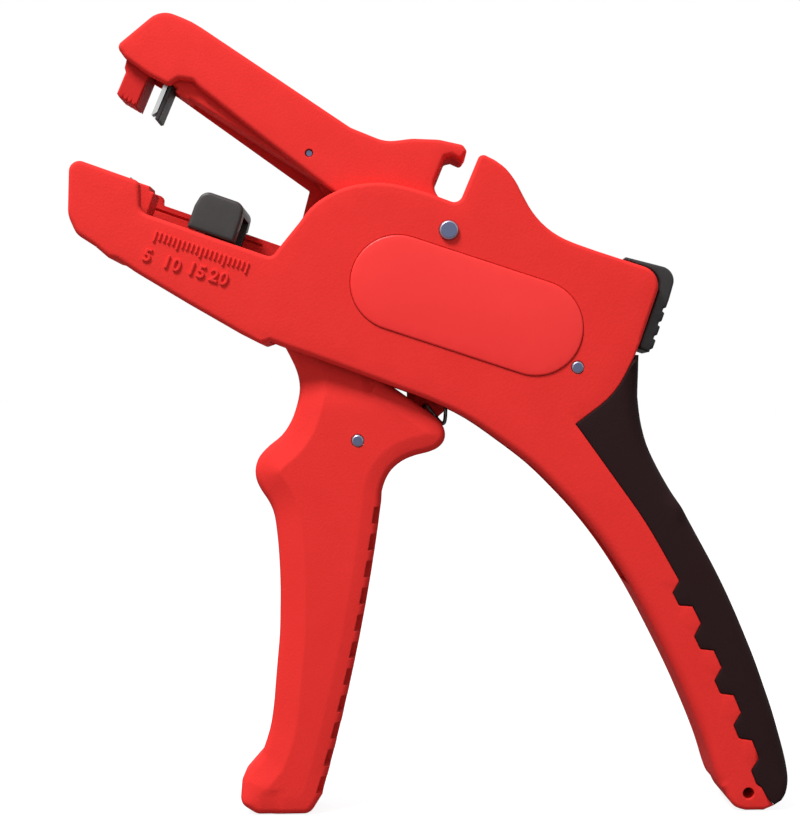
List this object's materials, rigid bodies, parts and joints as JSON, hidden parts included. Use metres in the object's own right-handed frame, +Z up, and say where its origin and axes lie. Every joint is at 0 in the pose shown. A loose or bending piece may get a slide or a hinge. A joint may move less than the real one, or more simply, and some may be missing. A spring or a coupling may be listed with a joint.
{
  "type": "automatic wire stripper",
  "caption": "Hand tool with a fixed and a moving handle: squeezing shuts the toothed upper jaw on a wire and draws two blades back to pull off its insulation.",
  "frame": {"origin": "middle of the bounding box, at its underside, where the two handle ends stand", "axes": "+Z up along the handles, +X from the jaws to the back of the handle, -Y out of the front side that the picture shows"},
  "size_m": [0.1476, 0.0228, 0.1677],
  "materials": {
    "red_nylon": "satin",
    "soft_black": "matte",
    "black_nylon": "satin",
    "dark_grey_nylon": "satin",
    "steel": "satin",
    "spring_steel": "satin"
  },
  "bodies": {
    "frame": {"front_shell": "red_nylon", "rear_shell": "red_nylon", "front_pad": "red_nylon", "rear_pad": "red_nylon", "handle_grip": "soft_black", "lower_clamp_insert": "red_nylon", "pivot_pin": "steel", "frame_pin": "steel"},
    "lever": {"trigger_lever": "red_nylon", "spring_pin": "steel", "pull_pin": "steel", "closing_spring": "spring_steel"},
    "jaw": {"upper_jaw": "red_nylon", "upper_clamp_block": "red_nylon", "jaw_roll_pin": "steel"},
    "upper_slide": {"upper_carriage": "red_nylon", "upper_blade": "steel", "upper_blade_backer": "black_nylon"},
    "lower_slide": {"lower_carriage": "red_nylon", "lower_blade": "steel"},
    "stop": {"length_stop": "dark_grey_nylon"},
    "adjuster": {"depth_slider": "black_nylon"},
    "lever_seat": {"lever_spring_seat": "black_nylon"},
    "frame_seat": {"frame_spring_seat": "black_nylon", "return_spring": "spring_steel"}
  },
  "joints": [
    {"name": "lever_squeeze", "type": "hinge", "parent": "frame", "child": "lever", "pos_m": [0.00496, 0, 0.121], "axis": [0, -1, 0], "range_deg": [0, 36], "stiffness_Nm_per_rad": 0.8, "springref_deg": -20.05, "deforming": ["return_spring"]},
    {"name": "jaw_close", "type": "hinge", "parent": "frame", "child": "jaw", "pos_m": [0.00496, 0, 0.121], "axis": [0, -1, 0], "range_deg": [0, 11.5]},
    {"name": "upper_draw", "type": "slide", "parent": "jaw", "child": "upper_slide", "axis": [0.8526, 0, -0.5225], "range_m": [0, 0.007]},
    {"name": "lower_draw", "type": "slide", "parent": "frame", "child": "lower_slide", "axis": [0.9397, 0, -0.342], "range_m": [0, 0.007]},
    {"name": "stop_slide", "type": "slide", "parent": "frame", "child": "stop", "axis": [0.9397, 0, -0.342], "range_m": [-0.005, 0.0075]},
    {"name": "depth_adjust", "type": "slide", "parent": "frame", "child": "adjuster", "axis": [0.3549, 0, 0.9349], "range_m": [0, 0.003]},
    {"name": "lever_seat_turn", "type": "hinge", "parent": "lever", "child": "lever_seat", "pos_m": [-0.01464, 0, 0.0777], "axis": [0, -1, 0], "range_deg": [-7, 0]},
    {"name": "frame_seat_turn", "type": "hinge", "parent": "frame", "child": "frame_seat", "pos_m": [0.03116, 0, 0.0922], "axis": [0, -1, 0], "range_deg": [0, 30]}
  ],
  "couplings": [
    {"joint": "jaw_close", "follows": "lever_squeeze", "ratio": 0.3194},
    {"joint": "upper_draw", "follows": "lever_squeeze", "m_per_rad": 0.01114},
    {"joint": "lower_draw", "follows": "lever_squeeze", "m_per_rad": 0.01114},
    {"joint": "lever_seat_turn", "follows": "lever_squeeze", "ratio": -0.185},
    {"joint": "frame_seat_turn", "follows": "lever_squeeze", "ratio": 0.815}
  ]
}
